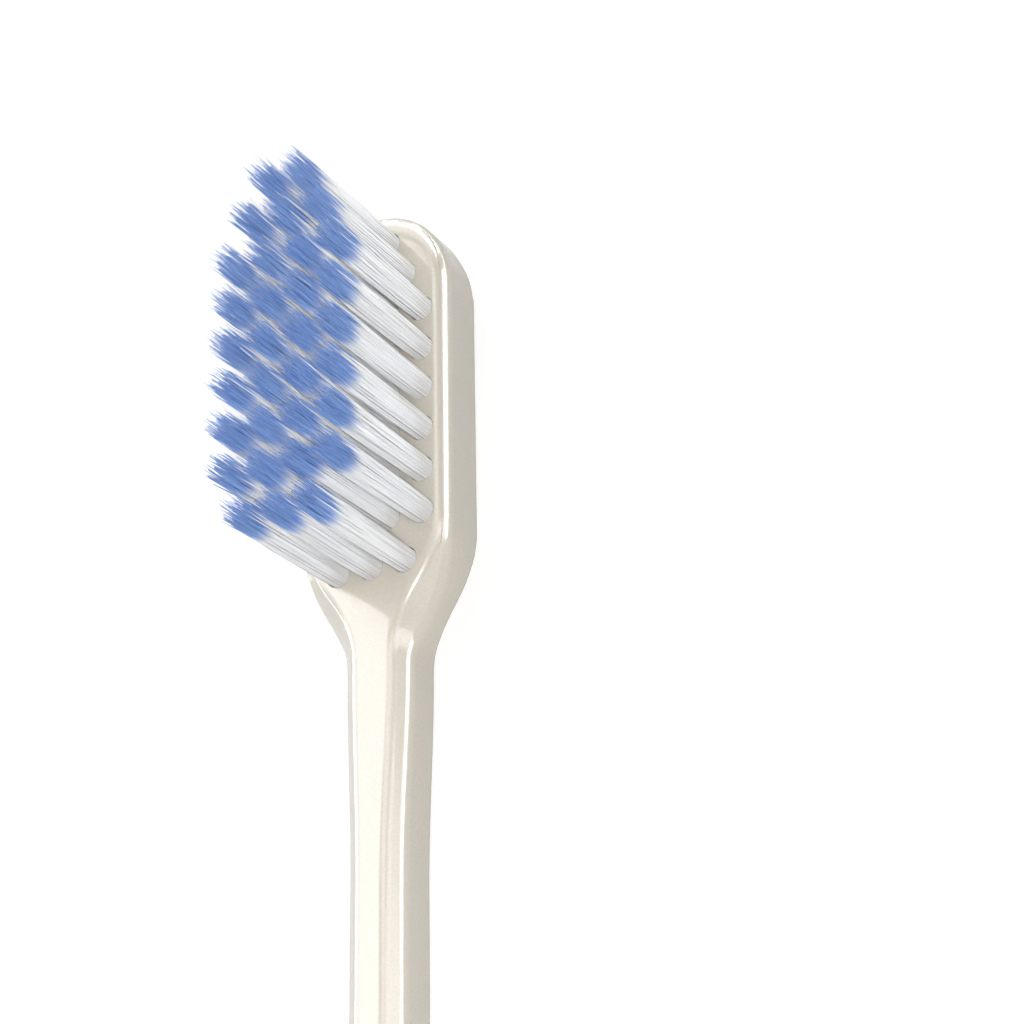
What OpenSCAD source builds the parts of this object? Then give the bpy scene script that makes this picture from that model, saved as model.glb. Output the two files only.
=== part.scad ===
// Manual toothbrush: a one-piece moulded handle, its bristle tufts and the metal anchors that hold them.
// The brush lies on its flat back. +Y runs to the tip of the head and +Z out of the bristle face.
// The origin is halfway along the brush, on the surface that it lies on.

/* [Brush] */
// Whole length, from the tip of the head to the end of the grip
brush_length = 182; // [160:1:205]

/* [Head] */
// Width of the head between its straight sides
head_width = 9.7; // [9:0.1:12]
// Thickness of the head, from the flat back to the bristle face
head_thickness = 4.7; // [4.2:0.1:6.5]
// Length of the rounded end of the head
arch_length = 5.35; // [4.6:0.05:7]
// Width of the slanted edge that runs round the back of the head
head_back_edge = 1.1; // [0.6:0.05:1.6]
// Width of the slanted edge that runs round the bristle face
face_edge = 0.5; // [0.3:0.05:0.8]
// Depth by which the nose is rounded off at the back, down its side
nose_depth = 1.9; // [1.2:0.1:2.4]
// Length by which the nose is rounded off at the back, along its flat
nose_reach = 2; // [1.4:0.1:2.6]
// Width of the slanted edges at the front of the shoulder's middle
shoulder_edge = 1.25; // [0.8:0.05:1.6]
// Width of the slanted edges at the back of the shoulder's middle
shoulder_back_edge = 1.7; // [1:0.05:2]
// Radius at which the sides of the head start to curve in
shoulder_radius = 9; // [6:0.5:12]
// Angle of the shoulder's straight flank to the length of the brush
shoulder_angle = 29; // [22:1:38]
// Radius at which the shoulder runs out into the neck
neck_radius = 3.5; // [2:0.5:6]

/* [Bristles] */
// Height of the bristles above the face
bristle_height = 11; // [8:0.5:14]
// Diameter of the bore that each tuft is set in
bore_diameter = 1.5; // [1.3:0.05:1.7]
// Plastic left under each bore
bore_floor = 1.7; // [1.2:0.1:2.2]
// Distance from the tip of the head to the first row of tufts
tip_land = 2.2; // [1.8:0.05:3]
// Distance between the first two rows
first_row_gap = 2.3; // [2.1:0.05:2.8]
// Distance between the rows in the middle of the field
row_pitch = 2.55; // [2.3:0.05:3]
// Distance between the last two rows
last_row_gap = 2.75; // [2.3:0.05:3.2]
// Plastic between the outer tufts and the side of the head
side_land = 0.85; // [0.7:0.05:1.2]

/* [Neck] */
// Width of the neck where the shoulder ends
neck_width = 4.25; // [3.5:0.05:5]
// Thickness of the neck where the shoulder ends
neck_thickness = 4.6; // [3.8:0.1:6]
// Width of the neck at its slimmest
slim_width = 3.55; // [3.3:0.05:4.5]
// Thickness of the neck at its slimmest
slim_thickness = 4.7; // [3.8:0.1:6]
// Width of the slanted edges along the front of the neck
neck_edge = 0.85; // [0.4:0.05:1.1]
// Width of the slanted edges along the back of the neck
neck_back_edge = 1.35; // [0.7:0.05:1.55]
// Length over which the neck narrows
neck_taper_length = 12; // [8:1:20]
// Length of the slim part of the neck
slim_length = 20; // [10:1:30]

/* [Grip] */
// Width of the grip
grip_width = 11.4; // [9:0.1:14]
// Thickness of the grip
grip_thickness = 8.2; // [7:0.1:11]
// Width of the slanted edges along the grip
grip_edge = 2.2; // [1.2:0.1:2.8]
// Length over which the neck swells into the grip
flare_length = 42; // [30:1:55]
// Width of the grip where its rounded end starts
butt_width = 9.4; // [8:0.1:13]
// Thickness of the grip at its end
butt_thickness = 7.2; // [6:0.1:10]
// Length of the rounded end of the grip
butt_length = 6.5; // [5:0.5:9]

/* [Anchors] */
// Thickness of the flat metal wire that holds each tuft
anchor_thickness = 0.25; // [0.2:0.01:0.35]
// Height of the wire, along the bore
anchor_height = 1.3; // [0.9:0.05:1.6]
// Length of wire that bites into the plastic at each side of the bore
anchor_bite = 0.2; // [0.1:0.02:0.26]

/* [Hidden] */
// Tufts in each row, counted from the tip of the head
ROW_COUNTS = [2, 3, 4, 4, 4, 4, 4, 4, 3];
ROWS = [for (row = [1 : len(ROW_COUNTS)]) row];
TUFTS = [for (row = ROWS) for (column = [1 : ROW_COUNTS[row - 1]]) [row, column]];
function tuft_name(tuft) = str("tuft_row_", tuft[0], "_col_", tuft[1]);
function anchors_name(row) = str("anchors_row_", row);

// Clearance round a tuft and an anchor in the handle
fit_gap = 0.03;
// Depth by which the strands run down into the bundle that they grow from
strand_sink = 0.4;
// Clearance between the spread tips of two neighbouring tufts
tip_gap = 0.1;
// Filament left between the anchor and the floor of the bore, where the tuft is folded
fold_height = 0.35;
// Flat face left past the last row, before the face dips to the neck
face_land = 0.3;
// Distance by which the shoulder starts before the last row
shoulder_lap = 2.4;
// Turn of the anchors from the length of the brush
anchor_turn = 30;
$fn = 48;

// Steps along the handle's outline
arch_steps = 12;
shoulder_steps = 5;
flank_steps = 2;
neck_steps = 4;
flare_steps = 10;
grip_steps = 4;
butt_steps = 7;
back_steps = 4;
// Stretch of the arch's quarter turn over which the nose's rounding dies out to the sides
nose_fade_share = 0.5;
nose_fade_gain = 1.4;

// Sides of the folded bundle, where the bore presses the filaments together
BUNDLE_SIDES = 12;
// Strands in each tuft: a few round the middle and the rest round the rim
INNER_STRANDS = 3;
OUTER_STRANDS = 9;
inner_ring_share = 0.3;
outer_ring_share = 0.77;
strand_width_share = 0.33;
strand_waist_share = 0.72;
taper_start_share = 0.7;
trim_loss_share = 0.09;
golden_turn = 137.5;

bore_radius = bore_diameter / 2;
bore_depth = head_thickness - bore_floor;
bundle_radius = bore_radius - fit_gap;
widest_row = max(ROW_COUNTS);
column_pitch = (head_width - 2 * side_land - bore_diameter) / (widest_row - 1);
tip_radius = (column_pitch - tip_gap) / 2;
anchor_length = bore_diameter + 2 * anchor_bite;

// Distances along the brush are counted from the tip of the head
function row_at(row) =
    row == 1 ? tip_land
    : row < len(ROW_COUNTS) ? tip_land + first_row_gap + (row - 2) * row_pitch
    : row_at(row - 1) + last_row_gap;
last_row_at = row_at(len(ROW_COUNTS));
face_end = last_row_at + bore_radius + face_land;
shoulder_start = last_row_at - shoulder_lap;
shoulder_arc_run = shoulder_radius * sin(shoulder_angle);
neck_arc_run = neck_radius * sin(shoulder_angle);
arcs_drop = (shoulder_radius + neck_radius) * (1 - cos(shoulder_angle));
flank_run = ((head_width - neck_width) / 2 - arcs_drop) / tan(shoulder_angle);
flank_start = shoulder_start + shoulder_arc_run;
flank_end = flank_start + flank_run;
flank_middle = (flank_start + flank_end) / 2;
neck_start = flank_end + neck_arc_run;
slim_start = neck_start + neck_taper_length;
flare_start = slim_start + slim_length;
grip_start = flare_start + flare_length;
butt_start = brush_length - butt_length;

function y_at(distance) = brush_length / 2 - distance;
function mix(from, to, share) = from + (to - from) * share;
function ease(value, low, high) =
    let (share = min(1, max(0, (value - low) / (high - low)))) share * share * (3 - 2 * share);

// A measure that follows the brush from neck to slim part, grip and end
function along(distance, neck, slim, grip, butt) =
    distance < flare_start ? mix(neck, slim, ease(distance, neck_start, slim_start))
    : distance < grip_start ? mix(slim, grip, ease(distance, flare_start, grip_start))
    : mix(grip, butt, ease(distance, grip_start, butt_start));

function top_height(distance) =
    distance < neck_start ? mix(head_thickness, neck_thickness, ease(distance, face_end, neck_start))
    : along(distance, neck_thickness, slim_thickness, grip_thickness, butt_thickness);

// A slanted edge widens over the shoulder, narrows again to the neck and follows the flare to the grip
function edge_width(distance, head, shoulder, neck) =
    distance < flank_middle ? mix(head, shoulder, ease(distance, shoulder_start, flank_middle))
    : distance < neck_start ? mix(shoulder, neck, ease(distance, flank_middle, neck_start))
    : along(distance, neck, neck, grip_edge, grip_edge);

function arc_drop(radius, run) = radius - sqrt(radius * radius - run * run);

function shoulder_half_width(distance) =
    distance < flank_start
        ? head_width / 2 - arc_drop(shoulder_radius, distance - shoulder_start)
    : distance < flank_end
        ? head_width / 2 - arc_drop(shoulder_radius, shoulder_arc_run)
            - (distance - flank_start) * tan(shoulder_angle)
    : neck_width / 2 + arc_drop(neck_radius, neck_start - distance);

function half_width(distance) =
    distance < shoulder_start ? head_width / 2
    : distance < neck_start ? shoulder_half_width(distance)
    : along(distance, neck_width, slim_width, grip_width, butt_width) / 2;

function steps_between(from, to, steps) = [for (i = [1 : steps]) mix(from, to, i / steps)];

// Outline of the right-hand side, from the tip of the head to the end of the grip, as [x, distance]
arch_points = [for (i = [0 : arch_steps])
    let (turn = 90 * i / arch_steps)
    [head_width / 2 * sin(turn), arch_length * (1 - cos(turn))]];
side_distances = concat(
    [shoulder_start],
    steps_between(shoulder_start, flank_start, shoulder_steps),
    steps_between(flank_start, flank_end, flank_steps),
    steps_between(flank_end, neck_start, shoulder_steps),
    steps_between(neck_start, slim_start, neck_steps),
    [flare_start],
    steps_between(flare_start, grip_start, flare_steps),
    steps_between(grip_start, butt_start, grip_steps)
);
butt_points = [for (i = [1 : butt_steps])
    let (turn = 90 * i / butt_steps)
    [butt_width / 2 * cos(turn), butt_start + butt_length * sin(turn)]];
side_points = concat(
    arch_points,
    [for (distance = side_distances) [half_width(distance), distance]],
    butt_points
);
last_point = len(side_points) - 1;

function mirrored(point) = [-point.x, point.y];
function outward(i) =
    let (
        before = i == 0 ? mirrored(side_points[1]) : side_points[i - 1],
        after = i == last_point ? mirrored(side_points[last_point - 1]) : side_points[i + 1],
        run = after - before
    )
    [run.y, -run.x] / norm(run);

// The nose's rounding at a point of the outline: a quarter of an ellipse that dies out along the arch
function nose_strength(i) = ease(1 - i / arch_steps, 0, nose_fade_share);
function nose_height(i, inset, back_edge) =
    let (
        reach = nose_reach * nose_strength(i),
        depth = mix(back_edge, nose_depth, min(1, nose_fade_gain * nose_strength(i)))
    )
    inset >= reach ? 0 : depth * (1 - sqrt(1 - pow(1 - inset / reach, 2)));

// One rib of the handle at a point of the outline: from the back, up the side, to the front
function rib(i) =
    let (
        distance = side_points[i].y,
        back_edge = edge_width(distance, head_back_edge, shoulder_back_edge, neck_back_edge),
        front_edge = edge_width(distance, face_edge, shoulder_edge, neck_edge),
        top = top_height(distance),
        back_start = max(back_edge, nose_reach * nose_strength(i)),
        back = [for (step = [0 : back_steps])
            let (inset = back_start * (1 - step / back_steps))
            [inset, max(0, back_edge - inset, nose_height(i, inset, back_edge))]]
    )
    [for (place = concat(back, [[0, top - front_edge], [front_edge, top]]))
        let (point = side_points[i] - outward(i) * place.x)
        [point.x, y_at(point.y), place.y]];

// The ribs run down the right-hand side and back up the left-hand side
right_ribs = [for (i = [0 : last_point]) rib(i)];
left_ribs = [for (i = [last_point - 1 : -1 : 1]) [for (p = right_ribs[i]) [-p.x, p.y, p.z]]];
ribs = concat(right_ribs, left_ribs);
rib_count = len(ribs);
levels = len(ribs[0]);

function at(column, level) = (column % rib_count) * levels + level;
function band_faces(column, level) = [
    [at(column, level), at(column + 1, level + 1), at(column, level + 1)],
    [at(column, level), at(column + 1, level), at(column + 1, level + 1)]
];
function across(i) = i == 0 || i == last_point ? i : rib_count - i;
function flat_faces(level, i) =
    let (
        corners = [at(i, level), at(i + 1, level), at(across(i + 1), level), at(across(i), level)],
        first = [corners[0], corners[1], corners[2]],
        second = [corners[0], corners[2], corners[3]],
        faces = i == 0 ? [first]
            : i == last_point - 1 ? [[corners[0], corners[1], corners[3]]]
            : [first, second]
    )
    level == 0 ? [for (face = faces) [face[2], face[1], face[0]]] : faces;

module handle_body() {
    polyhedron(
        points = [for (one = ribs) each one],
        faces = concat(
            [for (column = [0 : rib_count - 1])
                for (level = [0 : levels - 2]) each band_faces(column, level)],
            [for (i = [0 : last_point - 1]) each flat_faces(0, i)],
            [for (i = [0 : last_point - 1]) each flat_faces(levels - 1, i)]
        )
    );
}

// Places its children at a tuft's centre on the bristle face
module at_tuft(tuft) {
    translate([
        (tuft[1] - (ROW_COUNTS[tuft[0] - 1] + 1) / 2) * column_pitch,
        y_at(row_at(tuft[0])),
        head_thickness
    ])
    children();
}

// The slot that an anchor lies in, larger than it by a gap on every side
module anchor_block(gap) {
    rotate([0, 0, 90 + anchor_turn])
    translate([0, 0, fold_height + anchor_height / 2 - bore_depth])
    cube([anchor_length + 2 * gap, anchor_thickness + 2 * gap, anchor_height + 2 * gap], center = true);
}

// One-piece moulded handle: head, neck and grip, bored for the tufts
module handle() {
    color("ivory")
    difference() {
        handle_body();
        for (tuft = TUFTS)
            at_tuft(tuft) {
                translate([0, 0, -bore_depth])
                cylinder(h = 2 * bore_depth, r = bore_radius);
                anchor_block(fit_gap);
            }
    }
}

// One strand: square, upright to its waist, then tapered to a point, leaning out to its spread tip
module strand(turn, ring_share, height) {
    width = strand_width_share * bundle_radius;
    low = -strand_sink;
    waist = height * taper_start_share;
    spread = tip_radius - bundle_radius;
    function reach(z) = ring_share * (bundle_radius + spread * max(0, z) / bristle_height);
    function ring(z, size) = [for (corner = [45 : 90 : 315])
        [reach(z) + size / sqrt(2) * cos(corner), size / sqrt(2) * sin(corner), z]];
    rotate([0, 0, turn])
    polyhedron(
        points = concat(
            ring(low, width),
            ring(waist, width * strand_waist_share),
            [[reach(height), 0, height]]
        ),
        faces = concat(
            [[0, 1, 2], [0, 2, 3]],
            [for (i = [0 : 3]) [i, i + 4, (i + 1) % 4]],
            [for (i = [0 : 3]) [(i + 1) % 4, i + 4, (i + 1) % 4 + 4]],
            [for (i = [0 : 3]) [i + 4, 8, (i + 1) % 4 + 4]]
        )
    );
}

// One tuft: the folded bundle that fills its bore, and the strands that grow from it
module tuft(tuft) {
    first_turn = golden_turn * (tuft[0] + 3 * tuft[1]);
    function trimmed(i) =
        let (step = i * golden_turn + first_turn)
        bristle_height * (1 - trim_loss_share * (step / 360 - floor(step / 360)));
    color("lightsteelblue")
    at_tuft(tuft)
    union() {
        difference() {
            translate([0, 0, -bore_depth])
            cylinder(h = bore_depth, r = bundle_radius, $fn = BUNDLE_SIDES);
            anchor_block(fit_gap);
        }
        for (i = [0 : INNER_STRANDS - 1])
            strand(first_turn + 360 * i / INNER_STRANDS, inner_ring_share, trimmed(i));
        for (i = [0 : OUTER_STRANDS - 1])
            strand(first_turn + 360 * i / OUTER_STRANDS, outer_ring_share, trimmed(i + INNER_STRANDS));
    }
}

// The anchors of one row: a piece of flat wire across each bore, inside the fold of its tuft
module anchors(row) {
    color("silver")
    for (column = [1 : ROW_COUNTS[row - 1]])
        at_tuft([row, column])
        anchor_block(0);
}

handle();
for (one = TUFTS)
    tuft(one);
for (row = ROWS)
    anchors(row);
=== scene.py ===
# %% [markdown]
# # A manual toothbrush, from its frame to its looks
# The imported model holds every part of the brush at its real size: a moulded handle, 32 tufts and
# the small metal anchors that hold them. This lesson keeps those sizes and places, and gives each
# piece the shape and the finish that the eye expects. The brush lies on its flat back, with the
# tip of the head towards +Y and the bristles towards +Z.

# %% Load the frame
import math

import bmesh
import bpy
import numpy as np
from mathutils import Matrix, Vector


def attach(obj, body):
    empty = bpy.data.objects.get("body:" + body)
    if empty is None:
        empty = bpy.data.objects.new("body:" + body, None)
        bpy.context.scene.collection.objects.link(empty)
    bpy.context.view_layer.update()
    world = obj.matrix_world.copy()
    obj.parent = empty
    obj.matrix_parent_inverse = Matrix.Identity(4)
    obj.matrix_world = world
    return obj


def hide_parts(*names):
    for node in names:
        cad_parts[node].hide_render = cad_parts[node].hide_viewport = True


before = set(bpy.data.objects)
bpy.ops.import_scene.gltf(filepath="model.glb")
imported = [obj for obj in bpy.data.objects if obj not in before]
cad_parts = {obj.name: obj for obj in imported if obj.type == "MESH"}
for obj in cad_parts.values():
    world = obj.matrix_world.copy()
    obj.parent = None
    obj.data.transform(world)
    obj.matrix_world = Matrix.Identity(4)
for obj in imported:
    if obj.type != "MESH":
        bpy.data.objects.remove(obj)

MM = 0.001
scene = bpy.context.scene
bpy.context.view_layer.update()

# %% [markdown]
# ## The camera
# The view was worked out from the spacing of the tufts and the outline of the head, which fix
# where a camera with a long lens has to stand. It looks down at the bristle face from the right,
# with the brush running up the picture. The three directions of the camera are written as a
# matrix, because a turn written as angles is harder to check against the brush.

# %% Stand the camera where the photograph was taken
view_right = Vector((0.8805, -0.0184, -0.4737))
view_up = Vector((0.2074, 0.9134, 0.3501))
view_back = Vector((0.4262, -0.4065, 0.8081))
camera_place = Vector((66.28, 15.11, 113.37)) * MM

camera_data = bpy.data.cameras.new("camera")
camera_data.lens = 86.98
camera_data.sensor_width = 36
camera_data.clip_start = 5 * MM
camera = bpy.data.objects.new("camera", camera_data)
camera.matrix_world = (
    Matrix.Translation(camera_place) @ Matrix((view_right, view_up, view_back)).transposed().to_4x4()
)
scene.collection.objects.link(camera)
scene.camera = camera
print("camera stands", round(camera_place.length / MM), "mm from the middle of the brush")

# %% [markdown]
# ## Helpers for nodes
# Geometry and materials are both made of nodes here, so one small function adds a node, sets it
# up and joins it to what comes before. Colours are picked as hex values, as on a colour chart,
# and have to be turned to linear light before a shader can use them.

# %% Add a node, and turn a hex colour to linear
def add_node(tree, kind, inputs=None, **settings):
    """A new node. A node or socket given as an input is linked, a list links several, and any
    other value is set. A node is linked by its first output in use."""
    node = tree.nodes.new(kind)
    for name, value in settings.items():
        setattr(node, name, value)
    for name, value in (inputs or {}).items():
        for one in value if isinstance(value, list) else [value]:
            if isinstance(one, bpy.types.Node):
                one = next(socket for socket in one.outputs if socket.enabled)
            if isinstance(one, bpy.types.NodeSocket):
                tree.links.new(one, node.inputs[name])
            else:
                node.inputs[name].default_value = one
    return node


def linear(hex_colour):
    """A hex colour such as #8bb1ec in linear light, with full opacity."""
    shares = [int(hex_colour[i : i + 2], 16) / 255 for i in (1, 3, 5)]
    return (*[c / 12.92 if c <= 0.04045 else ((c + 0.055) / 1.055) ** 2.4 for c in shares], 1)


def new_material(name):
    """An empty material, and its tree of nodes."""
    material = bpy.data.materials.new(name)
    material.use_nodes = True
    material.node_tree.nodes.clear()
    return material, material.node_tree


print("mid grey #808080 is", round(linear("#808080")[0], 3), "in linear light")

# %% [markdown]
# ## Pearl plastic of the handle
# The handle is injection moulded in off-white polypropylene with a little pearl pigment. A
# polished mould leaves it smooth and glossy, so bevels catch long bright lines. Light goes a
# little way into such plastic, which warms its shaded sides. The pigment shows as a very fine
# speckle, and the skin has the faint waves that plastic gets as it cools in the mould. A painted
# image could show all this, but it would need the handle unwrapped and would leave seams. Noise
# on Object coordinates fills the whole block, as the real pigment does.

# %% Colour the pearl plastic
pearl, tree = new_material("moulded_pearl_polypropylene")
place = add_node(tree, "ShaderNodeTexCoord").outputs["Object"]
# Nearly all of a noise lies between these two values.
noise_range = {"From Min": 0.3, "From Max": 0.7}

# Pearl flakes are some 0.02 mm wide. They are drawn 0.11 mm wide, so that the picture shows them.
flake_width = 0.11 * MM
flakes = add_node(tree, "ShaderNodeTexNoise", {
    "Vector": place, "Scale": 1 / flake_width, "Detail": 1.0, "Roughness": 0.6,
})
speckle = add_node(tree, "ShaderNodeMapRange", {
    "Value": flakes.outputs["Fac"], **noise_range, "To Min": 0.0, "To Max": 1.0,
})
flake_colour = add_node(tree, "ShaderNodeMix", {
    "Factor": speckle, "A": linear("#d5cdbf"), "B": linear("#ded6c8"),
}, data_type="RGBA")

# The melt leaves soft clouds about 6 mm across, which take up to a third of a paler colour.
cloud_width = 6 * MM
clouds = add_node(tree, "ShaderNodeTexNoise", {
    "Vector": place, "Scale": 1 / cloud_width, "Detail": 2.0, "Roughness": 0.5,
})
cloud_share = add_node(tree, "ShaderNodeMath", {
    0: clouds.outputs["Fac"], 1: 0.35,
}, operation="MULTIPLY")
plastic_colour = add_node(tree, "ShaderNodeMix", {
    "Factor": cloud_share, "A": flake_colour, "B": linear("#d9d4ca"),
}, data_type="RGBA")
print("colours of the pearl plastic:", len(tree.nodes), "nodes")

# %% Give the plastic its skin and its gloss
plastic_roughness = add_node(tree, "ShaderNodeMapRange", {
    "Value": clouds.outputs["Fac"], **noise_range, "To Min": 0.2, "To Max": 0.26,
})
# Waves in the skin are 1.4 mm apart and a few thousandths of a millimetre high.
wave_width = 1.4 * MM
waves = add_node(tree, "ShaderNodeTexNoise", {
    "Vector": place, "Scale": 1 / wave_width, "Detail": 1.0, "Roughness": 0.4,
})
skin = add_node(tree, "ShaderNodeBump", {
    "Height": waves.outputs["Fac"], "Strength": 0.05, "Distance": 0.02 * MM,
})
# Light goes 0.6 mm into the plastic, red the furthest. The coat is the smooth skin on the mould's
# side, which keeps highlights sharp over the softer gloss of the pigment.
plastic = add_node(tree, "ShaderNodeBsdfPrincipled", {
    "Base Color": plastic_colour,
    "Roughness": plastic_roughness,
    "Normal": skin,
    "IOR": 1.49,
    "Subsurface Weight": 0.15,
    "Subsurface Radius": (1.0, 0.75, 0.5),
    "Subsurface Scale": 0.6 * MM,
    "Coat Weight": 1.0,
    "Coat Roughness": 0.08,
    "Coat IOR": 1.5,
})
add_node(tree, "ShaderNodeOutputMaterial", {"Surface": plastic})
print("pearl plastic:", len(tree.nodes), "nodes")

# %% [markdown]
# ## Nylon of the bristles
# Each filament is drawn out of a nozzle as a long clear thread and cut to length, so it is
# smooth along its length and a bundle of it looks white. The ends are dipped in blue dye, which
# climbs a little further on some filaments than on others. At the feet the threads get a painted
# beige shade, which stands in for the shade among the feet of the tufts. The tree that grows the
# filaments writes two values on them for this: how high the dye finds a point, and a shade of its
# own for each filament.
#
# Clear nylon also carries light down between the filaments, and their sides stay pale where
# solid threads would stand in shade. Real transparency needs a great many bounces in such a
# bundle and turns dark with few. So the thread is opaque here, and its normals are turned part
# of the way up towards the tips, which lets the light from above reach its sides.

# %% Colour a filament along its length
nylon, tree = new_material("drawn_nylon_filament")
height_value = add_node(tree, "ShaderNodeAttribute", attribute_name="dye_height")
shade_value = add_node(tree, "ShaderNodeAttribute", attribute_name="filament_shade")
dye_start, dye_full = 7.0 * MM, 8.5 * MM
dye = add_node(tree, "ShaderNodeMapRange", {
    "Value": height_value.outputs["Fac"],
    "From Min": dye_start, "From Max": dye_full, "To Min": 0.0, "To Max": 1.0,
}, interpolation_type="SMOOTHSTEP")
clear_thread = add_node(tree, "ShaderNodeMix", {
    "Factor": shade_value.outputs["Fac"], "A": linear("#fafbff"), "B": linear("#ffffff"),
}, data_type="RGBA")
dyed_thread = add_node(tree, "ShaderNodeMix", {
    "Factor": shade_value.outputs["Fac"], "A": linear("#618ed8"), "B": linear("#8bb1ec"),
}, data_type="RGBA")
thread_colour = add_node(tree, "ShaderNodeMix", {
    "Factor": dye, "A": clear_thread, "B": dyed_thread,
}, data_type="RGBA")

# Painted shade: up to 2.2 mm above the face the threads are mixed towards a shaded beige, which stands
# in for the shade among the feet of the tufts.
foot_shade_height, foot_shade_share = 2.2 * MM, 0.36
painted_foot_shade = add_node(tree, "ShaderNodeMapRange", {
    "Value": height_value.outputs["Fac"],
    "From Min": 0.0, "From Max": foot_shade_height, "To Min": foot_shade_share, "To Max": 0.0,
}, interpolation_type="SMOOTHSTEP")
foot_shaded_colour = add_node(tree, "ShaderNodeMix", {
    "Factor": painted_foot_shade, "A": thread_colour, "B": linear("#b9b0a2"),
}, data_type="RGBA")
print("colours of the nylon:", len(tree.nodes), "nodes")

# %% Turn the normals up and give the nylon its gloss
towards_tips = (0, 0, 1.0)
outside = add_node(tree, "ShaderNodeNewGeometry").outputs["Normal"]
lifted = add_node(tree, "ShaderNodeVectorMath", {0: outside, 1: towards_tips}, operation="ADD")
upward = add_node(tree, "ShaderNodeVectorMath", {0: lifted}, operation="NORMALIZE")
thread = add_node(tree, "ShaderNodeBsdfPrincipled", {
    "Normal": upward,
    "Base Color": foot_shaded_colour,
    "Roughness": 0.34,
    "IOR": 1.53,
})
add_node(tree, "ShaderNodeOutputMaterial", {"Surface": thread})
print("nylon:", len(tree.nodes), "nodes")

# %% [markdown]
# ## Brass of the anchors
# An anchor is a short length of flat wire that a tufting machine cuts off and drives across the
# bore. The wire was rolled flat, which leaves fine lines along it and a soft shine. The packed
# model already gives each anchor its shape, so only its material is new. The lines could be
# modelled as grooves, but they are finer than any mesh worth its size, so a noise that is
# stretched along the wire draws them.

# %% Make the rolled brass
brass, tree = new_material("rolled_brass_wire")
place = add_node(tree, "ShaderNodeTexCoord").outputs["Object"]
# The lines are 0.03 mm apart and some twelve times as long as they are wide. The wires lie
# across the bores at 120 degrees.
line_gap, line_stretch = 0.03 * MM, (0.08, 1, 1)
wire_turn = math.radians(120)
along_wire = add_node(tree, "ShaderNodeMapping", {
    "Vector": place, "Rotation": (0, 0, -wire_turn), "Scale": line_stretch,
})
lines = add_node(tree, "ShaderNodeTexNoise", {
    "Vector": along_wire, "Scale": 1 / line_gap, "Detail": 2.0,
})
brass_colour = add_node(tree, "ShaderNodeMix", {
    "Factor": lines.outputs["Fac"], "A": linear("#b8934a"), "B": linear("#dcbf7c"),
}, data_type="RGBA")
brass_roughness = add_node(tree, "ShaderNodeMapRange", {
    "Value": lines.outputs["Fac"], "To Min": 0.25, "To Max": 0.45,
})
brass_shader = add_node(tree, "ShaderNodeBsdfPrincipled", {
    "Base Color": brass_colour,
    "Roughness": brass_roughness,
    "Metallic": 1.0,
})
add_node(tree, "ShaderNodeOutputMaterial", {"Surface": brass_shader})

anchor_nodes = sorted(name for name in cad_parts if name.startswith("anchors_row_"))
for name in anchor_nodes:
    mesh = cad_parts[name].data
    mesh.materials.clear()
    mesh.materials.append(brass)
print("brass on", len(anchor_nodes), "rows of anchors")

# %% [markdown]
# ## The outline of the handle
# Seen from above, the handle is one line: the round tip, the straight sides of the head, a
# shoulder of two arcs and a flank, the slim neck, and the grip with its round end. It could be
# drawn as a curve by hand, but the maker's sizes are known, so the line is worked out from them.
# Sizes are in millimetres, and distances are counted from the tip of the head.

# %% Lengths along the handle
brush_length, head_width, neck_width = 182, 9.7, 4.25
arch_length, butt_length = 5.35, 6.5
shoulder_radius, shoulder_angle, neck_radius = 9, math.radians(29), 3.5
neck_taper_length, slim_length, flare_length = 12, 20, 42

bore_diameter, side_land, face_land, shoulder_lap = 1.5, 0.85, 0.3, 2.4
row_counts = [2, 3, 4, 4, 4, 4, 4, 4, 3]
first_row, first_pitch, row_pitch, last_pitch = 2.2, 2.3, 2.55, 2.75
pitches = [first_pitch, *[row_pitch] * (len(row_counts) - 3), last_pitch]
row_places = [first_row + sum(pitches[:row]) for row in range(len(row_counts))]
column_pitch = (head_width - 2 * side_land - bore_diameter) / (max(row_counts) - 1)

face_end = row_places[-1] + bore_diameter / 2 + face_land
shoulder_start = row_places[-1] - shoulder_lap
flank_start = shoulder_start + shoulder_radius * math.sin(shoulder_angle)
arcs_drop = (shoulder_radius + neck_radius) * (1 - math.cos(shoulder_angle))
flank_end = flank_start + ((head_width - neck_width) / 2 - arcs_drop) / math.tan(shoulder_angle)
flank_middle = (flank_start + flank_end) / 2
neck_start = flank_end + neck_radius * math.sin(shoulder_angle)
slim_start = neck_start + neck_taper_length
flare_start = slim_start + slim_length
grip_start = flare_start + flare_length
butt_start = brush_length - butt_length
print("rows of tufts at", [round(place, 2) for place in row_places], "mm from the tip")


# %% The width at any distance from the tip
slim_width, grip_width, butt_width = 3.55, 11.4, 9.4


def mix(start, end, share):
    return start + (end - start) * share


def ease(value, low, high):
    """From 0 at low to 1 at high, with a soft start and a soft end."""
    share = min(1, max(0, (value - low) / (high - low)))
    return share * share * (3 - 2 * share)


def along(at, neck, slim, grip, butt):
    """A size behind the shoulder, which flows from its value on the neck to that at the butt."""
    if at < flare_start:
        return mix(neck, slim, ease(at, neck_start, slim_start))
    if at < grip_start:
        return mix(slim, grip, ease(at, flare_start, grip_start))
    return mix(grip, butt, ease(at, grip_start, butt_start))


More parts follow.
